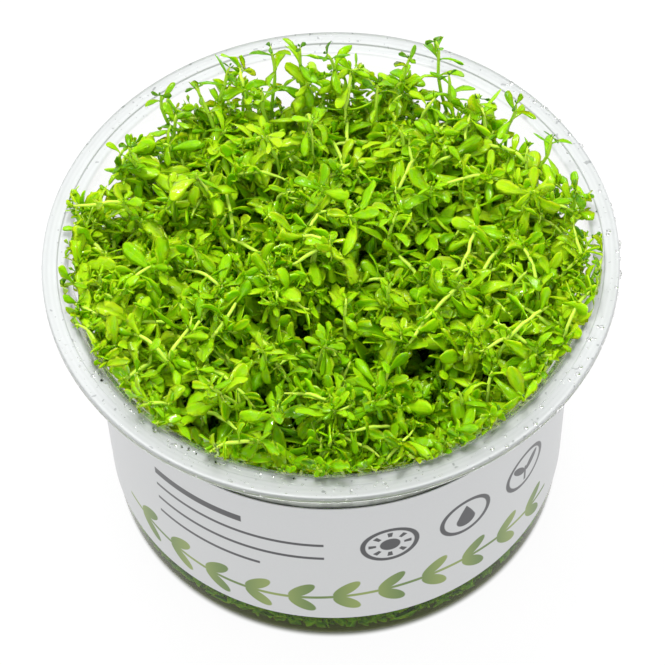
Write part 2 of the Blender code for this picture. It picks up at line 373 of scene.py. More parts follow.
def clearPlastic():
    # A clear wall, with a milky bloom on the rim's upper side
    c = cupSpec
    sheet = Sheet("clearPlastic")
    place = sheet.node("TexCoord", out="Object")
    split = sheet.node("SeparateXYZ", None, {"Vector": place}, out="X")
    x, y, z = (split.pick(axis) for axis in "XYZ")
    radius = (x * x + y * y) ** 0.5 / mm
    high = z / mm
    onRim = sheet.step(radius, c["innerRadius"] - 1.5, c["innerRadius"] - 0.7)
    upper = sheet.step(high, c["height"] - 0.75, c["height"] - 0.45)
    onFoot = 1.0 - sheet.step(high, 7.0, 9.0)
    cloud = sheet.noise(place, 7.0)
    ripple = sheet.noise(place, 2.6)
    # Condensation on the strip of wall above the label, thicker in places
    thick = sheet.step(sheet.noise(place, 3.2, 3.0), 0.36, 0.60)
    fadeIn, full, fadeOut, gone = c["breathHeights"]
    strip = sheet.step(high, fadeIn, full) * (1.0 - sheet.step(high, fadeOut, gone))
    least, more = c["breath"]
    bump = sheet.bump(ripple, 0.05, 0.35)
    # Faint rings left by the moulding, and fine grey specks
    rings = sheet.sum("SINE", radius * 7.5 + cloud * 3.0)
    specks = sheet.step(sheet.noise(place, 1.05, 1.0), 0.70, 0.735) * upper
    rim = sheet.mix(cloud * 0.5 + rings * 0.3 + 0.25, (0.435, 0.46, 0.455), (0.525, 0.545, 0.545))
    rim = sheet.mix(specks, rim, (0.13, 0.15, 0.15))
    clear = sheet.node("BsdfPrincipled", None, {
        "Base Color": sheet.mix(onRim * upper, (0.99, 0.992, 0.99), (0.775, 0.80, 0.80)),
        "Roughness": 0.03 + onRim * 0.32 + onFoot * 0.07,
        "IOR": c["bend"],
        "Transmission Weight": 1.0,
        "Normal": bump,
    })
    milky = sheet.node("BsdfPrincipled", None, {
        "Base Color": sheet.mix(onRim, (0.68, 0.72, 0.66), rim),
        "Roughness": 0.30 + cloud * 0.1,
        "Normal": bump,
    })
    haze = sheet.most(onRim * upper * c["bloom"], strip * (least + thick * more))
    sheet.close(sheet.node("MixShader", None, {0: haze, 1: clear, 2: milky}))
    return sheet.material


def wetPlastic():
    # The cup's inside where the gel touches it
    sheet = Sheet("wetPlastic")
    place = sheet.node("TexCoord", out="Object")
    return sheet.finish({
        "Base Color": (0.97, 0.98, 0.95, 1),
        "Roughness": 0.05,
        "IOR": cupSpec["bend"] / cupSpec["gelBend"],
        "Transmission Weight": 1.0,
        "Normal": sheet.bump(sheet.noise(place, 2.0), 0.05, 0.3),
    })


def footPlastic():
    # The outside of the wall below the label, with the gel's colour in it
    sheet = Sheet("footPlastic")
    place = sheet.node("TexCoord", out="Object")
    streak = sheet.noise(place, 4.0, 3.0)
    return sheet.finish({
        "Base Color": sheet.mix(streak, (0.80, 0.84, 0.30), (0.92, 0.93, 0.45)),
        "Roughness": 0.08,
        "IOR": cupSpec["footBend"],
        "Transmission Weight": 1.0,
        "Specular Tint": (0.70, 0.75, 0.35, 1.0),
        "Normal": sheet.bump(streak, 0.05, 0.3),
    })


def clearWater():
    # The beads
    sheet = Sheet("clearWater")
    place = sheet.node("TexCoord", out="Object")
    return sheet.finish({
        "Base Color": (1, 1, 1, 1),
        "Roughness": 0.01,
        "IOR": 1.33,
        "Transmission Weight": 1.0,
        "Normal": sheet.bump(sheet.noise(place, 0.5), 0.02, 0.3),
    })


def makeCup(finishes):
    # The cup's outline and the beads, turned. Below the gel's top it is wet inside and tinted outside
    line, sides = cupLine(), cupSpec["sides"]
    points, corners, sizes, finishOf = tubeParts([(turned(line, sides), 0), (rimDrops(), 1)])
    band = np.arange(len(line) - 1)
    low = (line[1:, 1] + line[:-1, 1]) / 2 < gelSpec["top"]
    inside = band > np.argmax(line[:, 1])
    finishOf[:len(band) * sides] = np.repeat(np.where(low, np.where(inside, 2, 3), 0), sides)
    return meshPiece("cup_clear", points, corners, sizes, finishes, finishOf, cupSpec["sharp"])


# Label: a paper strip round the wall, with a plain printed pattern

labelSpec = {
    "gap": 0.3,
    "paper": 0.2,
    "bottom": 8.2,
    "top": 47.4,
    "from": 130.0,           # degrees, where the strip starts and ends; the back of the wall is bare
    "to": 420.0,
    "front": 270.0,
    "steps": 232,
    "sharp": 30,
    "unit": 100.0,           # millimetres in one unit of the print's map
    "mapHeight": 30.0,       # where the wall's radius gives the print its true width
    # The print, in millimetres to the right of the front's middle and above the table
    "signs": (9.0, 24.0, 39.0),
    "signHeight": 33.0,
    "signRadius": 5.5,
    "signLine": 0.95,
    "rulesLeft": -37.0,
    "rulesTop": 39.2,
    "rulesPitch": 4.6,
    "rules": ((9.5, 1.0), (17.0, 0.42), (17.0, 0.42), (11.0, 0.42)),    # half length and half weight of each
    "vineHeight": 16.2,
    "vineEnd": 46.2,
    "vinePitch": 8.4,
    "vineWave": (12.0, 1.5),       # how slow and how high it winds
    "bladeLean": 44.0,
    "bladeApart": 2.35,      # from the stem to a blade's middle
    "bladeShift": 0.9,
    "bladeHalf": (3.3, 1.5),       # half its length and half its width
}


def labelFinish():
    # Satin paper; each printed mark is 1 inside its shape and 0 outside
    spec = labelSpec
    sheet = Sheet("labelPaper")
    uv = sheet.node("UVMap", {"uv_map": "print"})
    split = sheet.node("SeparateXYZ", None, {"Vector": uv}, out="X")
    u, v = split * spec["unit"], split.pick("Y") * spec["unit"]

    def disc(x, y, radius, soft=0.12):
        # Where the distance from the middle is less than the radius
        away = ((u - x) * (u - x) + (v - y) * (v - y)) ** 0.5
        return 1.0 - sheet.step(away, radius - soft, radius + soft)

    def box(x, y, halfWide, halfHigh, soft=0.1):
        # The product of an upright and a level band
        wide = sheet.step(abs(u - x), halfWide - soft, halfWide + soft)
        high = sheet.step(abs(v - y), halfHigh - soft, halfHigh + soft)
        return (1.0 - wide) * (1.0 - high)

    def ring(x, y, radius, line):
        # A disc less a smaller one
        return disc(x, y, radius) - disc(x, y, radius - line)

    def sun(x, y):
        # A disc, and eight rays from the angle's cosine
        away = ((u - x) * (u - x) + (v - y) * (v - y)) ** 0.5
        angle = sheet.sum("ARCTAN2", v - y, u - x)
        rays = sheet.step(sheet.sum("COSINE", angle * 8.0), 0.35, 0.6)
        band = sheet.step(away, 2.5, 2.7) * (1.0 - sheet.step(away, 3.9, 4.1))
        return sheet.most(disc(x, y, 1.9), rays * band)

    def drop(x, y):
        # A disc with a tapering point above it
        up = sheet.step(v - y, -0.2, 0.2) * (1.0 - sheet.step(v - y, 4.6, 4.8))
        wide = 2.0 * (1.0 - (sheet.most(v - y, 0.0) / 4.7) ** 1.3)
        return sheet.most(disc(x, y, 2.0), up * (1.0 - sheet.step(abs(u - x) - wide, -0.1, 0.1)))

    def leaf(x, y, length, width, degrees):
        # An ellipse turned about its middle
        c, s = math.cos(math.radians(degrees)), math.sin(math.radians(degrees))
        along = ((u - x) * c + (v - y) * s) / (length / 2)
        across = ((v - y) * c - (u - x) * s) / (width / 2)
        return 1.0 - sheet.step(along * along + across * across, 0.85, 1.12)

    # Three round signs, with a sun, a drop and a seedling in them, and plain rules
    sunX, dropX, seedX = spec["signs"]
    y = spec["signHeight"]
    marks = [ring(x, y, spec["signRadius"], spec["signLine"]) for x in spec["signs"]]
    marks += [sun(sunX, y), drop(dropX, y - 1.2)]
    marks += [leaf(seedX - 1.8, y + 0.8, 4.8, 1.9, 130), leaf(seedX + 1.8, y + 0.8, 4.8, 1.9, 50)]
    marks.append(box(seedX, y - 1.6, 0.28, 2.3))
    for row, (half, weight) in enumerate(spec["rules"]):
        marks.append(box(spec["rulesLeft"] + half, spec["rulesTop"] - spec["rulesPitch"] * row, half, weight))
    ink = marks[0]
    for mark in marks[1:]:
        ink = sheet.most(ink, mark)

    # A vine along the lower part: a sine wave for a stem, and a pair of ellipses in each cell of its length
    pitch, end = spec["vinePitch"], spec["vineEnd"]
    slow, wave = spec["vineWave"]
    halfLong, halfWide = spec["bladeHalf"]
    cell = sheet.node("Math", {"operation": "WRAP"}, {0: u, 1: pitch / 2, 2: -pitch / 2})
    rise = v - spec["vineHeight"] - sheet.sum("SINE", u / slow) * wave
    stem = (1.0 - sheet.step(abs(rise), 0.34, 0.52)) * (1.0 - sheet.step(abs(u), end + 1.6, end + 2.0))
    blades = []
    for side in (-1, 1):
        lean = math.radians(spec["bladeLean"])
        c, s = math.cos(lean), math.sin(lean) * side
        across = rise - spec["bladeApart"] * side
        along = ((cell - spec["bladeShift"]) * c + across * s) / halfLong
        wide = (across * c - (cell - spec["bladeShift"]) * s) / halfWide
        blades.append(1.0 - sheet.step(along * along + wide * wide, 0.88, 1.08))
    leaves = sheet.most(*blades) * (1.0 - sheet.step(abs(u), end - 0.1, end + 0.1))
    shade = sheet.sum("SINE", u * (math.pi / pitch)) * 0.5 + 0.5
    leafInk = sheet.mix(shade, (0.11, 0.20, 0.025), (0.25, 0.33, 0.065))

    fibre = sheet.noise(sheet.node("TexCoord", out="Object"), 0.35, 4.0)
    paper = sheet.mix(fibre, (0.61, 0.62, 0.625), (0.65, 0.66, 0.665))
    colour = sheet.mix(sheet.most(leaves, stem), paper, leafInk)
    colour = sheet.mix(ink, colour, (0.032, 0.033, 0.038))
    return sheet.finish({
        "Base Color": colour,
        "Roughness": 0.42 - 0.1 * ink,
        "Coat Weight": 0.12,
        "Coat Roughness": 0.25,
        "Normal": sheet.bump(fibre, 0.02, 0.25),
    })


def makeLabel(finish):
    # A section with four corners, thin as paper, carried round the wall
    s = labelSpec
    angle = np.radians(np.linspace(s["from"], s["to"], s["steps"] + 1))
    low = wallRadius(s["bottom"]) + s["gap"]
    high = wallRadius(s["top"]) + s["gap"]
    section = np.array([
        (low, s["bottom"]), (low + s["paper"], s["bottom"]),
        (high + s["paper"], s["top"]), (high, s["top"]),
    ])
    x = np.cos(angle)[:, None] * section[:, 0]
    y = np.sin(angle)[:, None] * section[:, 0]
    z = np.repeat(section[None, :, 1], len(angle), 0)
    corners, sizes = tubeFaces(1, len(angle), 4)
    points = np.stack([x, y, z], -1).reshape(-1, 3)
    piece = meshPiece("label_paper", points, corners, sizes, [finish], sharp=s["sharp"])
    # The print's own map: arc length from the front's middle, and height
    arc = np.repeat((angle - math.radians(s["front"])) * wallRadius(s["mapHeight"]), 4)
    height = np.tile(section[:, 1], len(angle))
    layer = piece.data.uv_layers.new(name="print")
    spots = np.stack([arc, height], -1)[corners] / s["unit"]
    layer.data.foreach_set("uv", spots.astype(np.float32).ravel())
    return piece


# Growing gel

gelSpec = {
    "top": 8.4,
    "inset": 0.1,            # film between the gel and the cup
    "meniscus": (1.6, 0.5),  # how wide and how high it climbs the wall
    "sideBend": 1.001,       # against the wet wall the gel hardly bends light
    "sides": 128,
}


def gelFinish(bend):
    # Clear, with the green of the plants in it, and a little cloudy
    sheet = Sheet("clearGel")
    place = sheet.node("TexCoord", out="Object")
    cloud = sheet.noise(place, 3.0, 3.0)
    return sheet.finish({
        "Base Color": sheet.mix(cloud, (0.58, 0.60, 0.12), (0.80, 0.82, 0.24)),
        "Roughness": 0.05 + cloud * 0.05,
        "IOR": bend,
        "Transmission Weight": 1.0,
        "Normal": sheet.bump(sheet.noise(place, 5.0), 0.15, 0.5),
    })


def makeGel(finishes):
    # A turned disc that fills the cup's floor, with an edge that climbs the wall, and another finish on top
    g, c = gelSpec, cupSpec
    gap = c["wall"] + g["inset"]
    wide, climb = g["meniscus"]
    side = wallRadius(g["top"]) - gap
    line = roundedLine([
        (c["pole"], c["floorTop"] + g["inset"], 0),
        (c["footInner"] - 0.55, c["floorTop"] + g["inset"], 0.5),
        (c["footInner"] + 0.25, c["footFloor"] + g["inset"], 0.5),
        (wallRadius(0) - gap, c["footFloor"] + g["inset"], c["corner"] - gap),
        (side, g["top"], 0.15),
        (side - wide, g["top"] - climb, 0.8),
        (c["pole"], g["top"] - climb, 0),
    ])
    points, corners, sizes, finishOf = tubeParts([(turned(line, g["sides"]), 0)])
    band = np.arange(len(line) - 1)
    finishOf[:len(band) * g["sides"]] = np.repeat(band >= np.argmax(line[:, 1]), g["sides"])
    return meshPiece("gel_clear", points, corners, sizes, finishes, finishOf, c["sharp"])


# Plants: every shoot is a stem with pairs of leaves, each pair crossed with the last

shootSpec = {
    "gap": 3.75,             # between neighbouring shoots at the gel
    "jitter": 0.9,
    "baseRadius": 39.8,
    "baseHeights": (2.6, 6.5),
    "spread": 1.10,          # how much wider the tips stand than the roots
    "wander": 2.7,
    "tipRadius": 46.5,       # and how far out at most
    "edgeCount": 104,        # shoots that follow the wall up to the rim
    "edgeJitter": 0.4,
    "edgeBase": 40.0,
    "edgeTips": (45.2, 47.6),
    "edgeCalm": 0.7,         # they vary less than the others
    "edgeTurnIn": 0.25,      # how far they lean inward
    "backTurnIn": 0.09,      # share by which the outer tips of the back stand closer to the middle
    "crown": 62.2,           # height of the tips in the middle
    "wallRise": (1.2, 45.0),         # how much higher they are at a radius near the wall
    "backSink": 4.6,
    "backHollow": (-5.5, 35.5, 7.0, 8.0),    # its middle, its radius and its depth
    "hills": 2.2,            # slow hills in the crown
    "hillWidths": (5.1, 6.3, 9.5, 7.2),      # a sixth of the way from crest to crest
    "heightSpread": 1.6,
    "lowShare": 0.30,        # shoots that stay below the crown, and how far
    "lowDrops": (2.0, 12.0),
    "lean": 1.15,
    "leanOut": 0.12,         # and how far outward at the edge
    "sizes": (0.09, 0.8, 1.25),      # spread, smallest and largest
    "leggy": (0.75, 1.4),
    "sidePaintedLight": 1.0,         # painted light, brighter at the sides and the back, and painted shade, darker at the front
    "backPaintedLight": 0.9,
    "frontPaintedShade": 1.1,
    "fringeFrom": (14.0, 36.0),      # how far back, and how far out, thin shoots stand over the sunken crown
    "fringeShare": 0.72,
    "fringeBare": 0.45,      # share of them that are bare between their pairs, as the sprigs are
    "fringeHeights": (58.0, 67.5),
    "fringeSize": 0.85,
    "fringeTone": 1.2,
    "sprigBehind": 3.0,      # a sprig's tip is behind the shoot whose place it takes
    # painted shade: the back sprigs are darker, as if seen backlit
    "sprigPaintedShade": -2.9,
    "sprigLeggy": (0.85, 1.2),
    "sprigSize": 0.9,
    "tallFrom": 8.0,         # a tuft further than this from every sprig gets a tall shoot
    "tallDrop": 1.5,         # which stands this far below the top of the tuft's solid
    "tallSize": 0.85,
    # Side shoots: how many, how far below the tip, how long, how level, and their size
    "sides": (290, (3.0, 12.0), (2.6, 5.5), 0.0, (0.62, 0.95)),
    "trails": (150, (2.0, 8.0), (8.0, 13.0), 1.0, (0.85, 1.05)),
    # The stem's curve, as shares of its length
    "upright": 0.42,         # the straight start from the root
    "ending": (0.32, 7.0),           # the last stretch before the tip, and at most this long
    "stray": 0.055,
    "slack": 1.06,
    "waves": (1.5, 3.5),
    "waveHeight": 0.013,
    "open": 0.75,            # how far the pairs below the tip may lie open
    "stemSides": 5,
    "stemLow": 0.44,         # stem radius deep down, near the tip, and at the tip
    "stemHigh": 0.37,
    "stemTip": 0.17,
}

leafSpec = {
    # For each pair, from the tip down: its distance from the tip, leaf length, half width,
    # angle off the stem, bend along its length, and tone; the lower tone of the deepest pairs is painted
    # shade
    "down": np.array([0.15, 0.75, 2.7, 6.3, 10.4, 14.8, 19.4, 24.5]),
    "length": np.array([1.1, 2.2, 4.1, 5.8, 6.7, 6.9, 6.4, 5.8]),
    "half": np.array([0.36, 0.62, 0.98, 1.24, 1.36, 1.38, 1.30, 1.2]),
    "lift": np.radians([14, 36, 52, 60, 68, 76, 84, 90]),
    "droop": np.radians([14, 32, 50, 62, 70, 74, 74, 70]),
    "tone": np.array([0.46, 0.52, 0.66, 0.74, 0.72, 0.60, 0.44, 0.34]),
    # The same for the sprigs of the back, which are bare between a level top pair and the next
    "sprigDown": np.array([0.05, 0.35, 5.2, 11.5, 17.5, 23.5, 29.5, 35.5]),
    "sprigLength": np.array([0.8, 2.3, 4.6, 5.6, 6.0, 6.0, 6.0, 5.0]),
    "sprigHalf": np.array([0.28, 0.56, 0.86, 1.05, 1.15, 1.1, 1.1, 1.0]),
    "sprigLift": np.radians([10, 74, 50, 62, 70, 76, 84, 90]),
    "sprigDroop": np.radians([6, 12, 46, 56, 70, 74, 74, 70]),
    "thick": 0.15,
    # Half width along the leaf: places, and shares of the widest
    "outline": (
        [0, 0.12, 0.3, 0.5, 0.65, 0.8, 0.9, 0.96, 1.0],
        [0.25, 0.28, 0.50, 0.82, 1.0, 0.97, 0.78, 0.52, 0.16],
    ),
    "stations": np.array([0, 0.16, 0.40, 0.64, 0.86, 0.96, 1.0]),
    "budStations": np.array([0, 0.2, 0.5, 0.82, 1.0]),   # for the smallest leaves
    "fewStations": np.array([0, 0.3, 0.7, 1.0]),         # for leaves deep in the cup
    # The leaf's section, in half widths across and in thicknesses over
    "section": (np.array([1, 0.5, 0, -0.5, -1, 0]), np.array([0.0, 0.9, 0.35, 0.9, 0.0, -1.2])),
    "flatSection": (np.array([1, 0, -1, 0]), np.array([0.0, 0.8, 0.0, -1.0])),
    "downSpread": (0.86, 1.14),
    "sizes": (0.22, 0.45, 1.28),     # spread, smallest and largest
    "halves": (0.96, 0.14),          # mean and spread of the half width, and its limits
    "halfLimits": (0.2, 1.62),
    "liftSpread": 0.36,
    "droopSpread": 0.62,
    "turnSpread": 0.32,
    "toneSpread": 0.15,
    "shootTone": 0.14,       # how much of the shoot's own tone, with its painted light and shade, a leaf takes
    "glow": 0.12,            # painted light, as if through the wall at the sides and the back, more for each pair down
    "sprigCalm": 0.35,       # leaves of sprigs vary less
    "openLift": 1.45,        # where the pairs below the tip lie open
    "foot": 0.12,            # from the stem's middle to the leaf's root
    "cups": (0.22, 0.38),    # how hollow the leaf is across, and its limits
    "cupLimits": (-0.5, 0.95),
    "twist": 0.6,
    "bend": 0.17,
    "ruffle": 0.2,           # height of the waves along each margin, and how many
    "waves": 1.3,
}

looseSpec = {
    # Old leaves on the gel and deep in the cup, given low tones as painted shade, and bright ones at its
    # sides and back, given high tones as painted light through the wall: how many, radii, heights, tones, and
    # angles
    "patches": [
        (1900, (37.5, 41.5), (1.2, 10.0), (0.05, 0.4), (0, 360)),
        (1100, (30.0, 41.0), (1.2, 14.0), (0.2, 0.5), (0, 360)),
        (1700, (0.0, 40.0), (8.0, 40.0), (0.0, 0.4), (0, 360)),
        (1000, (32.0, 44.0), (32.0, 53.0), (0.65, 1.0), (-35, 215)),
    ],
    "length": 5.4,
    "half": 1.15,
    "sizes": (0.8, 1.2),
    "lifts": (0.6, 1.3),
    "droops": (0.2, 1.0),
    "cups": (0.1, 0.15),
    "twist": 0.4,
    "bend": 0.1,
    "upward": 0.8,
}

roomSpec = {
    # The inside of the rounded foot, as heights and as how far from the axis a leaf may reach there
    "footHeights": (0.85, 1.25, 1.9, 2.9),
    "footLimits": (39.4, 40.6, 41.15, 41.45),
    "overRim": (0.5, 49.6),          # the same, above the rim's height
    "clear": 0.3,            # kept from the wall, and more over the rim at the front
    "clearFront": 0.9,
    "overFloor": 0.35,
    "leafRigid": 0.85,       # how far a leaf moves in as a whole instead of bending along the wall
}

# Tall sprigs that stand clear of the crown: the tip, the way it leans, and the roll of its top pair
backSprigs = [
    (-30.4, 33.8, 69.4, -0.15, 0.10, 0.2),
    (-36.2, 21.5, 70.0, 0.30, 0.05, 0.0),
    (-23.8, 34.9, 70.0, -0.05, 0.15, 0.9),
    (-17.4, 39.4, 70.0, 0.45, 0.20, 0.3),
    (-9.8, 41.5, 73.0, 0.00, 0.05, 0.0),
    (-4.3, 41.0, 73.0, 0.25, 0.30, 0.4),
    (0.6, 41.0, 71.0, 0.02, 0.10, 0.0),
    (9.7, 36.0, 67.5, -0.40, 0.10, 1.2),
    (15.8, 40.1, 70.0, 0.05, 0.20, 0.8),
    (20.9, 41.5, 73.0, 0.02, 0.10, 0.3),
    (23.0, 35.7, 70.0, 0.55, 0.20, 0.1),
    (28.4, 30.1, 70.0, 0.30, 0.10, 0.5),
    (35.1, 28.5, 70.0, 0.15, 0.10, 0.2),
    (41.3, 20.5, 70.0, 0.10, 0.10, 1.0),
    (44.7, 8.2, 70.0, 0.10, 0.00, 0.7),
    (48.0, 0.5, 66.0, 0.45, 0.00, 0.4),
    (47.7, -8.5, 66.5, 0.45, 0.00, 1.1),
    (-47.9, -4.0, 65.5, -0.50, 0.00, 0.3),
]


def hexPlaces(radius, gap, jitter):
    # Rows of points a gap apart, every other row shifted by half, jittered and cut to a disc
    reach = int(radius / gap) + 3
    i, j = np.meshgrid(np.arange(-reach, reach + 1), np.arange(-reach, reach + 1))
    x = (i + 0.5 * (j % 2)) * gap
    y = j * gap * math.sqrt(3) / 2
    places = np.stack([x.ravel(), y.ravel()], 1) + rng.normal(0, jitter, (x.size, 2))
    return places[np.hypot(places[:, 0], places[:, 1]) < radius]


def crownHeight(x, y):
    # Level in the middle, higher at the wall by the fourth power of the radius, lower along the back wall
    # with one bell-shaped hollow, and slow sine hills away from the wall
    s = shootSpec
    high, nearWall = s["wallRise"]
    rise = high * (np.hypot(x, y) / nearWall) ** 4
    sink = s["backSink"] * ease(y, 6, 30) * ease(np.hypot(x, y), 29, 41)
    hollowX, hollowY, wide, deep = s["backHollow"]
    hollow = deep * np.exp(-((x - hollowX) ** 2 + (y - hollowY) ** 2) / wide ** 2)
    a, b, c, d = s["hillWidths"]
    hills = np.sin(x / a + 1.3) * np.sin(y / b + 0.4) + 0.7 * np.sin(x / c - y / d + 2.0)
    return s["crown"] + rise - sink - hollow + s["hills"] * hills * (1 - ease(np.hypot(x, y), 38, 46))


def insideRadius(y, z):
    # How far out a leaf may reach: straight lines between the limits of the rounded foot, the wall, the ledge
    # and the rim, less a gap that is wider over the rim at the front
    c, room = cupSpec, roomSpec
    above, rimLimit = room["overRim"]
    heights = [*room["footHeights"], c["highHeight"], c["shoulderHeight"], c["height"], c["height"] + above]
    wallLimit, shoulderLimit = c["highRadius"] - c["wall"], c["shoulderRadius"] - 0.3
    limits = [*room["footLimits"], wallLimit, shoulderLimit, c["innerRadius"] - 0.2, rimLimit]
    front = ease(-y, 5, 28) * ease(z, 60, 63.5)
    return np.interp(z, heights, limits) - room["clear"] - room["clearFront"] * front


def keepInside(points, rigid):
    # What crosses the wall moves inward as a whole by the rigid share of its furthest overshoot, and then the
    # rest of it bends along the wall. In the same way, nothing reaches through the floor
    c = cupSpec
    moved = points.copy()
    for whole in (rigid, 0.0):
        radius = np.hypot(moved[..., 0], moved[..., 1])
        over = np.maximum(radius - insideRadius(moved[..., 1], moved[..., 2]), 0)
        back = np.maximum(over.max((1, 2), keepdims=True) * whole, over * (1 - whole))
        share = 1 - back / np.maximum(radius, 1e-6)
        moved[..., 0] *= share
        moved[..., 1] *= share
    beyondFoot = radius > c["footInner"] + c["footSlope"]
    floor = np.where(beyondFoot, c["footFloor"], c["floorTop"]) + roomSpec["overFloor"]
    low = np.maximum(floor - moved[..., 2], 0)
    moved[..., 2] += np.maximum(low.max((1, 2), keepdims=True) * 0.9, low)
    return moved


leafFinishIndex = 0          # places of the two finishes on each tuft
stemFinishIndex = 1


class Growth:
    # Leaves or stems as arrays of tubes, what their finish reads, and the spot that each belongs to
    def __init__(self, points, grain, finish, home):
        self.points, self.grain, self.finish, self.home = points, grain, finish, home


class Shoots:
    # The stems' curves: a cubic from the root to the tip, with a slow wave on it. Home is the spot that each
    # belongs to, start and heading are its ways at the root and at the tip
    def __init__(self, base, tip, start, heading, roll, size, leggy, tone, home):
        s, count = shootSpec, len(base)
        self.base, self.tip, self.roll, self.home = base, tip, roll, home
        self.size, self.leggy, self.tone = size, leggy, tone
        self.open = rng.uniform(0, s["open"], count)
        self.sprig = np.zeros(count, bool)
        self.glow = np.zeros(count)
        height = np.linalg.norm(tip - base, axis=1, keepdims=True)
        stray = np.concatenate([rng.normal(0, s["stray"], (count, 2)), np.zeros((count, 1))], 1) * height
        share, most = s["ending"]
        pull = np.minimum(height * share, most)
        self.pulls = (base + start * height * s["upright"] + stray, tip - heading * pull + 0.5 * stray)
        self.length = np.linalg.norm(tip - base, axis=1) * s["slack"]
        angle = rng.uniform(0, turn, count)
        self.waveWay = np.stack([np.cos(angle), np.sin(angle), np.zeros(count)], 1)
        self.waveStart = rng.uniform(0, 1, count)
        self.waves = rng.uniform(*s["waves"], count)
        side = np.arctan2(heading[:, 1], heading[:, 0]) + math.pi / 2
        self.sideWay = np.stack([np.cos(side), np.sin(side), np.zeros(count)], 1)

    def at(self, t):
        # Cubic curve plus a sine wave that fades at both ends; t has one row for each shoot
        a, d = self.base[:, None], self.tip[:, None]
        b, c = self.pulls[0][:, None], self.pulls[1][:, None]
        s, u = 1 - t[..., None], t[..., None]
        curve = s ** 3 * a + 3 * s * s * u * b + 3 * s * u * u * c + u ** 3 * d
        phase = turn * (self.waves[:, None] * t + self.waveStart[:, None])
        wave = shootSpec["waveHeight"] * self.length[:, None] * np.sin(phase) * 4 * t * (1 - t)
        return curve + wave[..., None] * self.waveWay[:, None]

    def frameAt(self, t):
        # The stem's direction by a central difference, and two ways across it
        axis = unit(self.at(t + 0.004) - self.at(t - 0.004))
        side = np.broadcast_to(self.sideWay[:, None], axis.shape)
        across = unit(side - (side * axis).sum(-1, keepdims=True) * axis)
        return axis, across, np.cross(axis, across)


def stemTubes(shoots, rings):
    # A round section carried along each stem, thinner towards the tip, with its rings closer together there
    s = shootSpec
    t = np.tile(1 - np.linspace(1, 0, rings) ** 1.35, (len(shoots.base), 1))
    across, over = shoots.frameAt(t)[1:]
    angle = np.arange(s["stemSides"]) / s["stemSides"] * turn
    down = (1 - t) * shoots.length[:, None]
    radius = s["stemTip"] + (s["stemHigh"] - s["stemTip"]) * ease(down, -0.5, 4.5)
    radius = (radius + (s["stemLow"] - s["stemHigh"]) * ease(down, 5, 40)) * shoots.size[:, None]
    ring = across[:, :, None] * np.cos(angle)[:, None] + over[:, :, None] * np.sin(angle)[:, None]
    points = shoots.at(t)[:, :, None] + ring * radius[..., None, None]
    grain = np.zeros(points.shape)
    grain[..., 0] = t[..., None]
    # The stem is paler toward the tip, with a little of the shoot's tone and so of its painted light and
    # shade
    grain[..., 2] = (1 - ease(down, 6, 40) + shoots.tone[:, None] * 0.04)[..., None]
    return Growth(keepInside(points, 0.0), grain, stemFinishIndex, shoots.home)


def leafTubes(root, axis, outward, length, half, lift, droop, cup, twist, bend, tone, s, section):
    # A leaf is a flat section carried along an arc in the plane of the stem and its outward way, whose angle
    # starts at lift and grows evenly by droop. Its half width follows the outline: a narrow foot, widest past
    # the middle, and a round tip. It is hollow by cup times the square of the way across, and twists evenly
    def column(value):
        return value[:, None]

    turnAt = column(lift) + column(droop) * s
    reach = column(length / droop)
    alongAxis = reach * (np.sin(turnAt) - np.sin(column(lift)))
    alongOut = reach * (np.cos(column(lift)) - np.cos(turnAt))
    side = np.cross(axis, outward)
    centre = (root[:, None] + alongAxis[..., None] * axis[:, None] + alongOut[..., None] * outward[:, None]
              + (column(bend * length) * s ** 2)[..., None] * side[:, None])
    face = np.sin(turnAt)[..., None] * axis[:, None] - np.cos(turnAt)[..., None] * outward[:, None]
    rolled = column(twist) * s
    ruffle = rng.normal(0, leafSpec["ruffle"], len(root))
    ruffleStart = rng.uniform(0, 1, len(root))
    margin = column(ruffle) * np.sin(turn * (leafSpec["waves"] * s + column(ruffleStart)))
    over = np.cos(rolled)[..., None] * face - np.sin(rolled)[..., None] * side[:, None]
    across = np.cos(rolled)[..., None] * side[:, None] + np.sin(rolled)[..., None] * face
    shape = np.interp(s, *leafSpec["outline"])
    width = column(half) * shape
    thick = leafSpec["thick"] * (0.45 + 0.55 * shape) * column(np.clip(half, 0.6, 1.1))
    spread, rise = section
    offAcross = width[..., None] * spread
    offOver = (column(cup) + margin)[..., None] * width[..., None] * spread ** 2 + thick[..., None] * rise
    offset = offAcross[..., None] * across[:, :, None]
    points = centre[:, :, None] + offset + offOver[..., None] * over[:, :, None]
    grain = np.empty(points.shape)
    grain[..., 0] = s[:, None]
    grain[..., 1] = spread
    grain[..., 2] = column(tone)[..., None]
    return points, grain


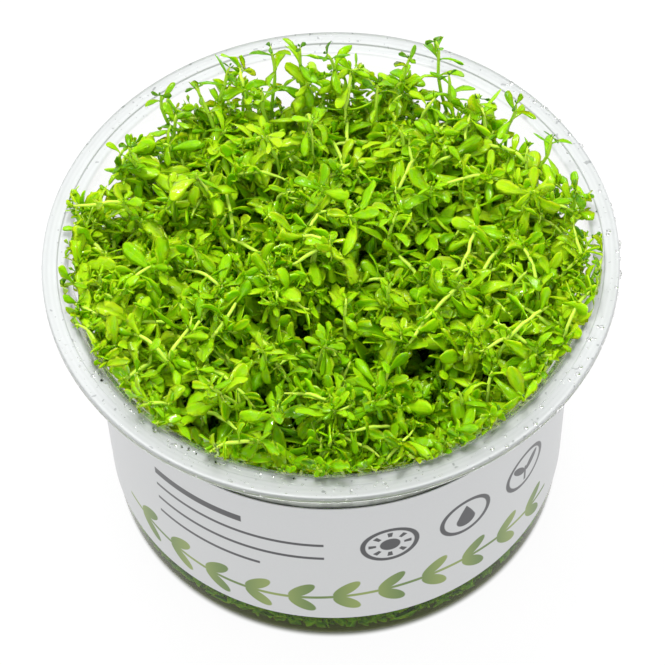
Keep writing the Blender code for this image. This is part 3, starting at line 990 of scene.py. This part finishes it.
def shootLeaves(shoots, first, last, stations, section):
    # Two leaves face each other at each joint of the stem, and each joint is turned a quarter from the last
    spec = leafSpec
    joints = np.arange(first, last)
    count, pairs = len(shoots.base), len(joints)
    shape = (count, pairs, 2)
    tables = {name: np.where(shoots.sprig[:, None], spec["sprig" + name.title()][joints], spec[name][joints])
              for name in ("down", "length", "half", "lift", "droop")}
    calm = np.where(shoots.sprig, spec["sprigCalm"], 1.0)[:, None, None]
    down = tables["down"] * shoots.leggy[:, None] * rng.uniform(*spec["downSpread"], (count, pairs))
    t = (1 - down / shoots.length[:, None]).clip(0.01, 1)
    axis, across, over = (np.repeat(way[:, :, None], 2, 2) for way in shoots.frameAt(t))
    angle = shoots.roll[:, None] + joints * math.pi / 2 + rng.normal(0, spec["turnSpread"], (count, pairs))
    angle = np.stack([angle, angle + math.pi], 2) + rng.normal(0, spec["turnSpread"] * 0.7, shape)
    outward = across * np.cos(angle)[..., None] + over * np.sin(angle)[..., None]
    root = np.repeat(shoots.at(t)[:, :, None], 2, 2) + outward * spec["foot"]
    spread, least, most = spec["sizes"]
    size = shoots.size[:, None, None] * rng.normal(1, spread * calm, shape).clip(least, most)
    length = tables["length"][..., None] * size
    half = (tables["half"][..., None] * size * rng.normal(*spec["halves"], shape)).clip(*spec["halfLimits"])
    opened = shoots.open[:, None, None] * (np.isin(joints, (1, 2, 3)))[:, None]
    lift = tables["lift"][..., None] + rng.normal(0, spec["liftSpread"] * calm, shape)
    lift = lift + opened * (spec["openLift"] - tables["lift"][..., None])
    droop = tables["droop"][..., None] + rng.normal(0, spec["droopSpread"] * calm, shape)
    droop = droop * (1 - 0.6 * opened)
    tone = spec["tone"][joints, None] + shoots.tone[:, None, None] * spec["shootTone"]
    tone = tone + rng.normal(0, spec["toneSpread"], shape)
    tone = tone + spec["glow"] * shoots.glow[:, None, None] * (joints[:, None] - 2.0)
    total = count * pairs * 2
    points, grain = leafTubes(
        root.reshape(-1, 3), axis.reshape(-1, 3), outward.reshape(-1, 3), length.ravel(), half.ravel(),
        lift.ravel(), droop.ravel(), rng.normal(*spec["cups"], total).clip(*spec["cupLimits"]),
        rng.normal(0, spec["twist"], total), rng.normal(0, spec["bend"], total), tone.ravel(),
        stations, section)
    home = np.repeat(shoots.home, pairs * 2, 0)
    return Growth(keepInside(points, roomSpec["leafRigid"]), grain, leafFinishIndex, home)


def looseLeaves(count, radii, heights, tones, angles):
    # Single leaves at even draws over a ring's area, its height and its angles, turned in all ways
    spec = looseSpec
    near, far = radii
    angle = np.radians(rng.uniform(*angles, count))
    radius = np.sqrt(rng.uniform(near ** 2, far ** 2, count))
    root = np.stack([radius * np.cos(angle), radius * np.sin(angle), rng.uniform(*heights, count)], 1)
    axis = unit(rng.normal(0, 1, (count, 3)) + np.array([0, 0, spec["upward"]]))
    outward = unit(np.cross(axis, rng.normal(0, 1, (count, 3))))
    size = rng.uniform(*spec["sizes"], count)
    points, grain = leafTubes(
        root, axis, outward, spec["length"] * size, spec["half"] * size,
        rng.uniform(*spec["lifts"], count), rng.uniform(*spec["droops"], count),
        rng.normal(*spec["cups"], count), rng.normal(0, spec["twist"], count),
        rng.normal(0, spec["bend"], count), rng.uniform(*tones, count),
        leafSpec["fewStations"], leafSpec["flatSection"])
    return Growth(keepInside(points, roomSpec["leafRigid"]), grain, leafFinishIndex, root[:, :2])


def sideShoots(shoots, count, downs, reaches, level, sizes):
    # Leafy shoots out of the joints below the tip; level is how far they lie down instead of turning up
    parent = rng.choice(np.flatnonzero(~shoots.sprig), count)
    down = rng.uniform(*downs, count)
    t = (1 - down / shoots.length[parent])[:, None]
    every = np.repeat(t.T, len(shoots.base), 0)
    rows = (parent, np.arange(count))
    base = shoots.at(every)[rows]
    axis, across, over = (way[rows] for way in shoots.frameAt(every))
    angle = rng.uniform(0, turn, count)[:, None]
    up = np.array([0, 0, 1.0])
    outward = across * np.cos(angle) + over * np.sin(angle)
    start = unit(outward + (0.7 - 0.4 * level) * axis + 0.8 * level * up)
    reach = rng.uniform(*reaches, count)[:, None]
    way = outward * 0.8 + axis * 0.5 * (1 - level) + 0.55 * up * (1 - 0.4 * level)
    tip = base + unit(way) * reach
    upright = np.concatenate([rng.normal(0, 0.6, (count, 2)), np.ones((count, 1))], 1)
    heading = unit(upright + level * 1.6 * outward - up * level)
    tip[:, 2] = np.minimum(tip[:, 2], crownHeight(tip[:, 0], tip[:, 1]) + 2.5)
    tone = shoots.tone[parent] + 0.3 - down * 0.06
    return Shoots(base, tip, start, heading, angle[:, 0], rng.uniform(*sizes, count),
                  rng.uniform(0.7, 1.2, count), tone, shoots.home[parent])


def nearestFree(tips, spot, taken):
    # The shoot whose tip is nearest to a spot, of those that aren't taken
    away = np.hypot(*(tips - spot).T)
    away[taken] = np.inf
    return int(np.argmin(away))


def plantShoots(tufts):
    # A jittered grid of shoots, and a ring of them that follows the wall. Some stay low, and thin ones stand
    # up over the sunken back. Each tall sprig takes a shoot's place, and so does a tall shoot in other tufts
    s = shootSpec
    spots = hexPlaces(s["baseRadius"], s["gap"], s["jitter"])
    tips = spots * s["spread"] + rng.normal(0, s["wander"], spots.shape)
    tips *= np.minimum(1, s["tipRadius"] / np.hypot(tips[:, 0], tips[:, 1]))[:, None]
    step = np.arange(s["edgeCount"]) + rng.uniform(-s["edgeJitter"], s["edgeJitter"], s["edgeCount"])
    angle = step / s["edgeCount"] * turn
    ring = np.stack([np.cos(angle), np.sin(angle)], 1)
    spots = np.concatenate([spots, ring * s["edgeBase"]])
    tips = np.concatenate([tips, ring * rng.uniform(*s["edgeTips"], (len(ring), 1))])
    tips *= 1 - s["backTurnIn"] * (ease(tips[:, 1], 10, 32) * ease(np.hypot(*tips.T), 36, 44))[:, None]
    count = len(spots)
    edge = np.arange(count) >= count - len(ring)

    calm = np.where(edge, s["edgeCalm"], 1)
    height = crownHeight(tips[:, 0], tips[:, 1]) + rng.normal(0, s["heightSpread"], count) * calm
    front = ease(-tips[:, 1], 8, 30)
    lowShare = s["lowShare"] * np.where(edge, 0.3 + 1.1 * front, 1 + 0.7 * front)
    low = rng.uniform(0, 1, count) < lowShare
    height = height - low * rng.uniform(*s["lowDrops"], count)
    lean = rng.normal(0, s["lean"], (count, 2)) + spots / s["edgeBase"] * s["leanOut"]
    lean[edge] = lean[edge] * s["edgeCalm"] - ring * s["edgeTurnIn"]
    roll = rng.uniform(0, turn, count)
    # Each shoot's tone: random, with painted light at the sides and the back and painted shade at the front
    tone = rng.uniform(-1, 1, count) + s["sidePaintedLight"] * ease(np.abs(tips[:, 0]), 18, 38)
    tone = tone + s["backPaintedLight"] * ease(tips[:, 1], 8, 34) - s["frontPaintedShade"] * ease(-tips[:, 1], 10, 36)
    spread, least, most = s["sizes"]
    size = rng.normal(1.0, spread, count).clip(least, most)
    leggy = rng.uniform(*s["leggy"], count)

    fringeY, fringeRadius = s["fringeFrom"]
    atBack = (tips[:, 1] > fringeY) & (np.hypot(*tips.T) > fringeRadius)
    thin = atBack & (rng.uniform(0, 1, count) < s["fringeShare"])
    height = np.where(thin, rng.uniform(*s["fringeHeights"], count), height)
    size[thin] *= s["fringeSize"]
    tone[thin] -= s["fringeTone"]

    sprigs = np.array(backSprigs)
    taken = []
    for x, y in sprigs[:, :2]:
        taken.append(nearestFree(tips, (x, y - s["sprigBehind"]), taken))
    tips[taken] = sprigs[:, :2]
    height[taken] = sprigs[:, 2]
    lean[taken] = sprigs[:, 3:5]
    roll[taken] = sprigs[:, 5]
    # the sprigs' darker tone is painted shade
    tone[taken] = s["sprigPaintedShade"]
    leggy[taken] = rng.uniform(*s["sprigLeggy"], len(taken))
    size[taken] = s["sprigSize"]
    bareStem = thin & (rng.uniform(0, 1, count) < s["fringeBare"])
    bareStem[taken] = True

    # In every tuft with no sprig near its middle, the shoot nearest there stands nearly as tall as its solid
    for lowest, highest in tufts.values():
        middle = (lowest + highest)[:2] / 2
        if np.hypot(*(middle - sprigs[:, :2]).T).min() > s["tallFrom"]:
            pick = nearestFree(tips, middle, taken)
            height[pick] = highest[2] - s["tallDrop"]
            lean[pick] *= 0.5
            size[pick] = s["tallSize"]

    base = np.concatenate([spots, rng.uniform(*s["baseHeights"], (count, 1))], 1)
    tip = np.concatenate([tips, height[:, None]], 1)
    heading = unit(np.concatenate([lean, np.ones((count, 1))], 1))
    shoots = Shoots(base, tip, np.array([0, 0, 1.0]), heading, roll, size, leggy, tone, tips)
    shoots.sprig = bareStem
    # Painted light: how much paler the leaves at the sides and the back are made, as if lit through the wall
    shoots.glow = np.maximum(ease(np.abs(tips[:, 0]), 18, 38), ease(tips[:, 1], 6, 30))
    shoots.open[bareStem] = 0.0
    return shoots


def leafFinish():
    # Green by tone, which holds painted light and shade as well as each leaf's own green, paler along the
    # rib, paler at the margins as a painted highlight, with fine veins and wet patches. The attribute grain
    # holds the place along the leaf, the place across it from -1 to 1, and the tone
    sheet = Sheet("leafGreen")
    grain = sheet.node("Attribute", {"attribute_name": "grain"}, out="Vector")
    split = sheet.node("SeparateXYZ", None, {"Vector": grain}, out="X")
    along, across, tone = (split.pick(axis) for axis in "XYZ")
    place = sheet.node("TexCoord", out="Object")
    mottle = sheet.noise(place, 1.3, 3.0)
    rib = (1.0 - sheet.step(abs(across), 0.02, 0.20)) * (1.0 - along)
    # The margins are paler as a painted highlight of backlit edges; the paler rib is the leaf's own colour
    edge = sheet.most(sheet.step(abs(across), 0.74, 0.97), sheet.step(along, 0.93, 1.0))
    toneAndPaintedLight = tone + (mottle - 0.5) * 0.5 + edge * 0.20 + rib * 0.22
    colour = sheet.node("ValToRGB", {"stops": [
        (0.0, (0.040, 0.15, 0.001)), (0.3, (0.155, 0.41, 0.001)), (0.6, (0.265, 0.59, 0.002)),
        (0.8, (0.325, 0.65, 0.003)), (1.0, (0.42, 0.73, 0.008)),
    ]}, {"Fac": toneAndPaintedLight})
    veins = sheet.sum("SINE", (along * 9.0 - abs(across) * 2.4) * 6.28)
    fine = sheet.noise(place, 0.30, 3.0)
    wet = sheet.step(sheet.noise(place, 0.9, 2.0), 0.52, 0.58)
    height = veins * 0.12 + fine * 0.5 + (1.0 - sheet.step(abs(across), 0.0, 0.2)) * -0.35
    return sheet.finish({
        "Base Color": colour,
        "Roughness": 0.30 + mottle * 0.22,
        "Specular IOR Level": 0.30,
        "Specular Tint": (0.75, 1.0, 0.12, 1.0),
        "Coat Weight": wet * 0.85,
        "Coat Roughness": 0.07,
        "Subsurface Weight": 0.6,
        "Subsurface Radius": (0.75, 1.0, 0.10),
        "Subsurface Scale": 0.0009,
        "Normal": sheet.bump(height, 0.09, 0.6),
    })


def stemFinish():
    # Paler than the leaves, and streaked
    sheet = Sheet("stemGreen")
    grain = sheet.node("Attribute", {"attribute_name": "grain"}, out="Vector")
    tone = sheet.node("SeparateXYZ", None, {"Vector": grain}, out="Z")
    place = sheet.node("TexCoord", out="Object")
    streak = sheet.noise(place, 0.9, 3.0)
    colour = sheet.node("ValToRGB", {"stops": [
        (0.0, (0.16, 0.30, 0.02)), (0.5, (0.46, 0.76, 0.04)), (1.0, (0.62, 0.93, 0.09)),
    ]}, {"Fac": tone + (streak - 0.5) * 0.3})
    return sheet.finish({
        "Base Color": colour,
        "Roughness": 0.34 + streak * 0.1,
        "Specular IOR Level": 0.32,
        "Specular Tint": (0.75, 1.0, 0.3, 1.0),
        "Coat Weight": 0.10,
        "Coat Roughness": 0.12,
        "Subsurface Weight": 0.5,
        "Subsurface Radius": (0.7, 1.0, 0.15),
        "Subsurface Scale": 0.0009,
        "Normal": sheet.bump(streak, 0.04, 0.4),
    })


def makeTufts(finishes):
    # Everything that grows, shared out: each stem and leaf goes to the tuft whose middle is nearest
    names = sorted(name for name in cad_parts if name.startswith("tuft_"))
    tufts = {name: tuple(np.array(corner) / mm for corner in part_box(name)) for name in names}
    centres = np.array([(low + high)[:2] / 2 for low, high in tufts.values()])
    spec = leafSpec
    full, flat = spec["section"], spec["flatSection"]
    shoots = plantShoots(tufts)
    sides = sideShoots(shoots, *shootSpec["sides"])
    trails = sideShoots(shoots, *shootSpec["trails"])
    growths = [
        stemTubes(shoots, 14),
        stemTubes(sides, 5),
        stemTubes(trails, 9),
        shootLeaves(shoots, 0, 2, spec["budStations"], flat),
        shootLeaves(shoots, 2, 5, spec["stations"], full),
        shootLeaves(shoots, 5, 8, spec["fewStations"], flat),
        shootLeaves(sides, 0, 2, spec["budStations"], flat),
        shootLeaves(sides, 2, 4, spec["stations"], full),
        shootLeaves(trails, 0, 2, spec["budStations"], flat),
        shootLeaves(trails, 2, 4, spec["stations"], full),
    ]
    growths += [looseLeaves(*patch) for patch in looseSpec["patches"]]
    homes = [np.argmin(np.hypot(*(g.home[:, None] - centres).transpose(2, 0, 1)), 1) for g in growths]
    made, faces = [], 0
    for k, name in enumerate(names):
        mine = [home == k for home in homes]
        parts = [(g.points[m], g.finish) for g, m in zip(growths, mine)]
        points, corners, sizes, finishOf = tubeParts(parts)
        piece = meshPiece(name + "_leafy", points, corners, sizes, finishes, finishOf)
        grain = np.concatenate([g.grain[m].reshape(-1, 3) for g, m in zip(growths, mine)])
        layer = piece.data.attributes.new("grain", "FLOAT_VECTOR", "POINT")
        layer.data.foreach_set("vector", grain.astype(np.float32).ravel())
        faces += int((sizes - 2).sum())
        made.append((piece, name))
    print("shoots", len(shoots.base), "and", len(sides.base), "side shoots, triangles", faces)
    return made


# Light, floor and camera

cameraSpec = {
    "elevation": 0.956,      # radians above level
    "roll": -0.034,
    "aim": (-0.105, 0.0, 39.375),
    "distance": 836.6,
    "lens": 243.6,
    "sensor": 36.0,
}


def makeCamera():
    # The camera stands in front, at its distance from the aim along a line that rises by the elevation. It
    # looks down that line, and its two ways across are turned about the line by the roll
    c = cameraSpec
    e, roll = c["elevation"], c["roll"]
    back = np.array([0, -math.cos(e), math.sin(e)])
    right = np.array([1.0, 0, 0])
    up = np.cross(back, right)
    across = math.cos(roll) * right + math.sin(roll) * up
    over = -math.sin(roll) * right + math.cos(roll) * up
    data = bpy.data.cameras.new("camera")
    data.lens = c["lens"]
    data.sensor_width = c["sensor"]
    data.clip_start = 0.01
    camera = bpy.data.objects.new("camera", data)
    matrix = np.eye(4)
    matrix[:3, 0], matrix[:3, 1], matrix[:3, 2] = across, over, back
    matrix[:3, 3] = (np.array(c["aim"]) + back * c["distance"]) * mm
    bpy.context.scene.collection.objects.link(camera)
    camera.matrix_world = Matrix(matrix)
    bpy.context.scene.camera = camera


lightSpec = {
    "world": 0.745,
    "key": 3.3,              # the lamps are in watts and metres
    "keySize": 0.40,
    "keyPlace": (-0.03, 0.20, 0.66),
    "spark": 0.7,            # a small lamp for the glints on wet leaves
    "sparkSize": 0.05,
    "sparkPlace": (-0.06, 0.14, 0.62),
    "aimHeight": 0.05,       # of the point that they face
    "floorHalf": 3000.0,
    "floorGlow": 0.95,
    "floorGap": 0.1,         # the foot stands clear of the floor by a film of air
    "footShade": (0.036, 0.047, 0.004),      # the floor's glow under the foot, dark as a painted shadow
    "shadeEdge": 1.4,        # over which that painted shadow fades out, up to the wall's radius
}


def makeStudio():
    # A bright even room, one broad and one small light above, and a white floor that glows,
    # but hardly under the cup's foot, where its glow is dark as a painted shadow
    spec = lightSpec
    world = bpy.data.worlds.new("studio")
    world.use_nodes = True
    world.node_tree.nodes["Background"].inputs["Color"].default_value = (1, 1, 1, 1)
    world.node_tree.nodes["Background"].inputs["Strength"].default_value = spec["world"]
    bpy.context.scene.world = world
    for name in ("key", "spark"):
        data = bpy.data.lights.new(name, "AREA")
        data.size = spec[name + "Size"]
        data.energy = spec[name]
        lamp = bpy.data.objects.new(name, data)
        lamp.location = spec[name + "Place"]
        away = unit(np.array(spec[name + "Place"]) - np.array([0, 0, spec["aimHeight"]]))
        lamp.rotation_euler = (math.acos(away[2]), 0, math.atan2(away[1], away[0]) + math.pi / 2)
        bpy.context.scene.collection.objects.link(lamp)
    bpy.context.scene.view_settings.view_transform = "Standard"

    half, low = spec["floorHalf"], spec["floorGap"]
    points = np.array([(-half, -half, -low), (half, -half, -low), (half, half, -low), (-half, half, -low)])
    sheet = Sheet("paleFloor")
    place = sheet.node("SeparateXYZ", None, {"Vector": sheet.node("TexCoord", out="Object")}, out="X")
    radius = (place * place + place.pick("Y") * place.pick("Y")) ** 0.5 / mm
    beside = sheet.step(radius, cupSpec["lowRadius"] - spec["shadeEdge"], cupSpec["lowRadius"])
    finish = sheet.finish({
        "Base Color": (0.07, 0.07, 0.07, 1.0),
        "Roughness": 0.9,
        "Specular IOR Level": 0.0,
        "Emission Color": sheet.mix(beside, spec["footShade"], (1.0, 1.0, 1.0)),
        "Emission Strength": spec["floorGlow"],
    })
    floor = meshPiece("floor", points, np.arange(4), np.array([4]), [finish])


def dress(piece, slot, *nodes):
    # The piece takes the place of its nodes, on their body
    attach(piece, "root")
    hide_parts(*nodes)


makeCamera()
makeStudio()
print("camera, light and floor set")

dress(makeCup([clearPlastic(), clearWater(), wetPlastic(), footPlastic()]), "clear_plastic", "cup")
print("cup turned")
dress(makeLabel(labelFinish()), "label_paper", "label")
print("label printed")
dress(makeGel([gelFinish(gelSpec["sideBend"]), gelFinish(cupSpec["gelBend"])]), "clear_gel", "growing_gel")
print("gel poured")
for piece, node in makeTufts([leafFinish(), stemFinish()]):
    dress(piece, "leaf_green", node)
print("tufts planted")
